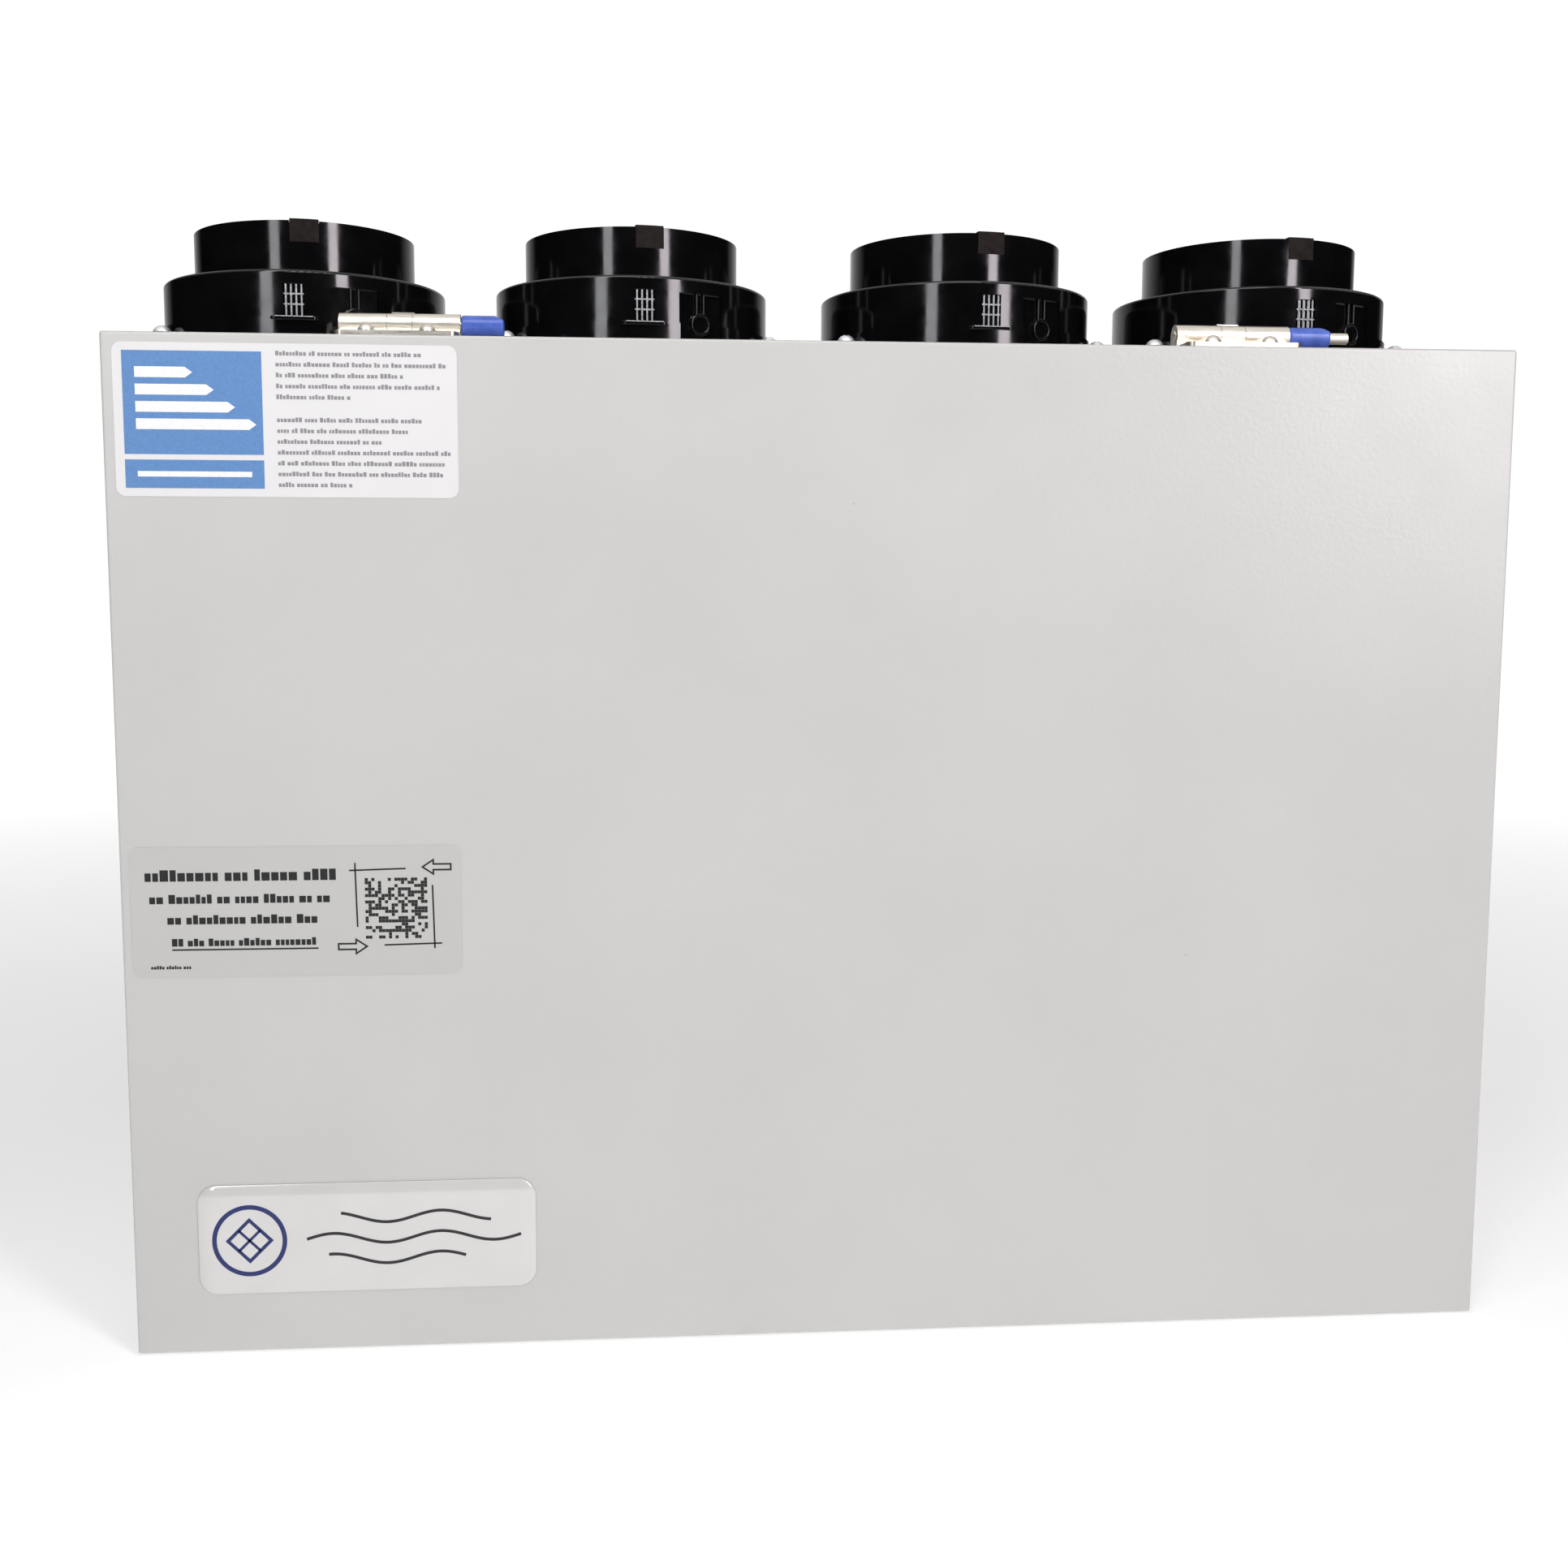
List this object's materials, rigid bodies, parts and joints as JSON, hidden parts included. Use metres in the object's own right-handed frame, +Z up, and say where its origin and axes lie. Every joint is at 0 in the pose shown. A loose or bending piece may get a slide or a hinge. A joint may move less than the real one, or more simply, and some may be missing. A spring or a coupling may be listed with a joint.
{
  "type": "heat recovery unit",
  "caption": "Box-shaped heat recovery ventilation unit with stepped duct collars on top, a lift-off top-hinged door, a cross-flow core, fans, filters, a drain pan and a wall bracket.",
  "frame": {"origin": "centre of the cabinet's footprint, on the flat underside that it stands on", "axes": "+Z up, +X to the right seen from the front, and the door faces -Y"},
  "size_m": [0.6073, 0.2427, 0.4942],
  "materials": {
    "powder_coat": "satin",
    "galvanised_steel": "satin",
    "foam": "matte",
    "collar_plastic": "satin",
    "clip_plastic": "matte",
    "zinc_fasteners": "satin",
    "nickel_steel": "polished",
    "blue_vinyl": "gloss",
    "seal_rubber": "matte",
    "badge_dome": "gloss",
    "label_film": "satin",
    "core_sheet": "satin",
    "aluminium": "satin",
    "webbing": "matte",
    "filter_card": "matte",
    "filter_cloth": "matte",
    "moulded_grey": "satin",
    "moulded_black": "satin",
    "board_green": "satin",
    "button_plastic": "satin",
    "lens_clear": "gloss"
  },
  "bodies": {
    "cabinet": {"cabinet_bottom": "powder_coat", "cabinet_side_left": "powder_coat", "cabinet_side_right": "powder_coat", "top_panel": "powder_coat", "service_plate": "powder_coat", "back_panel": "galvanised_steel", "rear_hanger": "galvanised_steel", "wall_bracket": "galvanised_steel", "control_tray": "galvanised_steel", "insulation_top": "foam", "insulation_bottom": "foam", "insulation_back": "foam", "insulation_left": "foam", "insulation_right": "foam", "partition_left": "foam", "partition_right": "foam", "core_partitions": "foam", "outdoor_air_port": "collar_plastic", "stale_air_port": "collar_plastic", "fresh_air_port": "collar_plastic", "exhaust_air_port": "collar_plastic", "port_clips": "clip_plastic", "port_screws": "zinc_fasteners", "service_screws": "zinc_fasteners", "hinge_leaves_rear": "nickel_steel", "cabinet_rivets": "nickel_steel", "cord_gland": "seal_rubber", "wall_bumpers": "seal_rubber", "heat_core": "core_sheet", "core_frame": "aluminium", "fan_motors": "aluminium", "core_strap": "webbing", "filter_frames": "filter_card", "filter_media": "filter_cloth", "drain_pan": "moulded_grey", "drain_sockets": "moulded_grey", "damper_frame": "moulded_grey", "supply_fan_housing": "moulded_black", "exhaust_fan_housing": "moulded_black", "fan_inlet_rings": "moulded_black", "damper_motor": "moulded_black", "terminal_block": "moulded_black", "circuit_board": "board_green", "led_lens": "lens_clear"},
    "door": {"door_skin": "powder_coat", "door_insulation": "foam", "door_gasket": "seal_rubber", "hinge_leaves_front": "nickel_steel", "door_rivets": "nickel_steel", "badge": "badge_dome", "efficiency_label": "label_film", "info_label": "label_film"},
    "left_pin": {"hinge_pin_left": "nickel_steel", "pin_grip_left": "blue_vinyl"},
    "right_pin": {"hinge_pin_right": "nickel_steel", "pin_grip_right": "blue_vinyl"},
    "supply_wheel": {"supply_impeller": "moulded_black"},
    "exhaust_wheel": {"exhaust_impeller": "moulded_black"},
    "flap": {"defrost_flap": "moulded_grey"},
    "button": {"speed_button": "button_plastic"}
  },
  "joints": [
    {"name": "door_hinge", "type": "hinge", "parent": "cabinet", "child": "door", "pos_m": [0, -0.09, 0.4452], "axis": [-1, 0, 0], "range_deg": [0, 105]},
    {"name": "left_pin_slide", "type": "slide", "parent": "cabinet", "child": "left_pin", "axis": [1, 0, 0], "range_m": [0, 0.06]},
    {"name": "right_pin_slide", "type": "slide", "parent": "cabinet", "child": "right_pin", "axis": [1, 0, 0], "range_m": [0, 0.06]},
    {"name": "supply_fan_spin", "type": "hinge", "parent": "cabinet", "child": "supply_wheel", "pos_m": [-0.2215, 0.02, 0.1], "axis": [0, 1, 0], "continuous": true},
    {"name": "exhaust_fan_spin", "type": "hinge", "parent": "cabinet", "child": "exhaust_wheel", "pos_m": [0.2215, 0.02, 0.1], "axis": [0, 1, 0], "continuous": true},
    {"name": "defrost_flap_swing", "type": "hinge", "parent": "cabinet", "child": "flap", "pos_m": [-0.1715, 0, 0.404], "axis": [0, 1, 0], "range_deg": [0, 85]},
    {"name": "speed_button_press", "type": "slide", "parent": "cabinet", "child": "button", "axis": [-1, 0, 0], "range_m": [0, 0.002], "stiffness_N_per_m": 400}
  ]
}
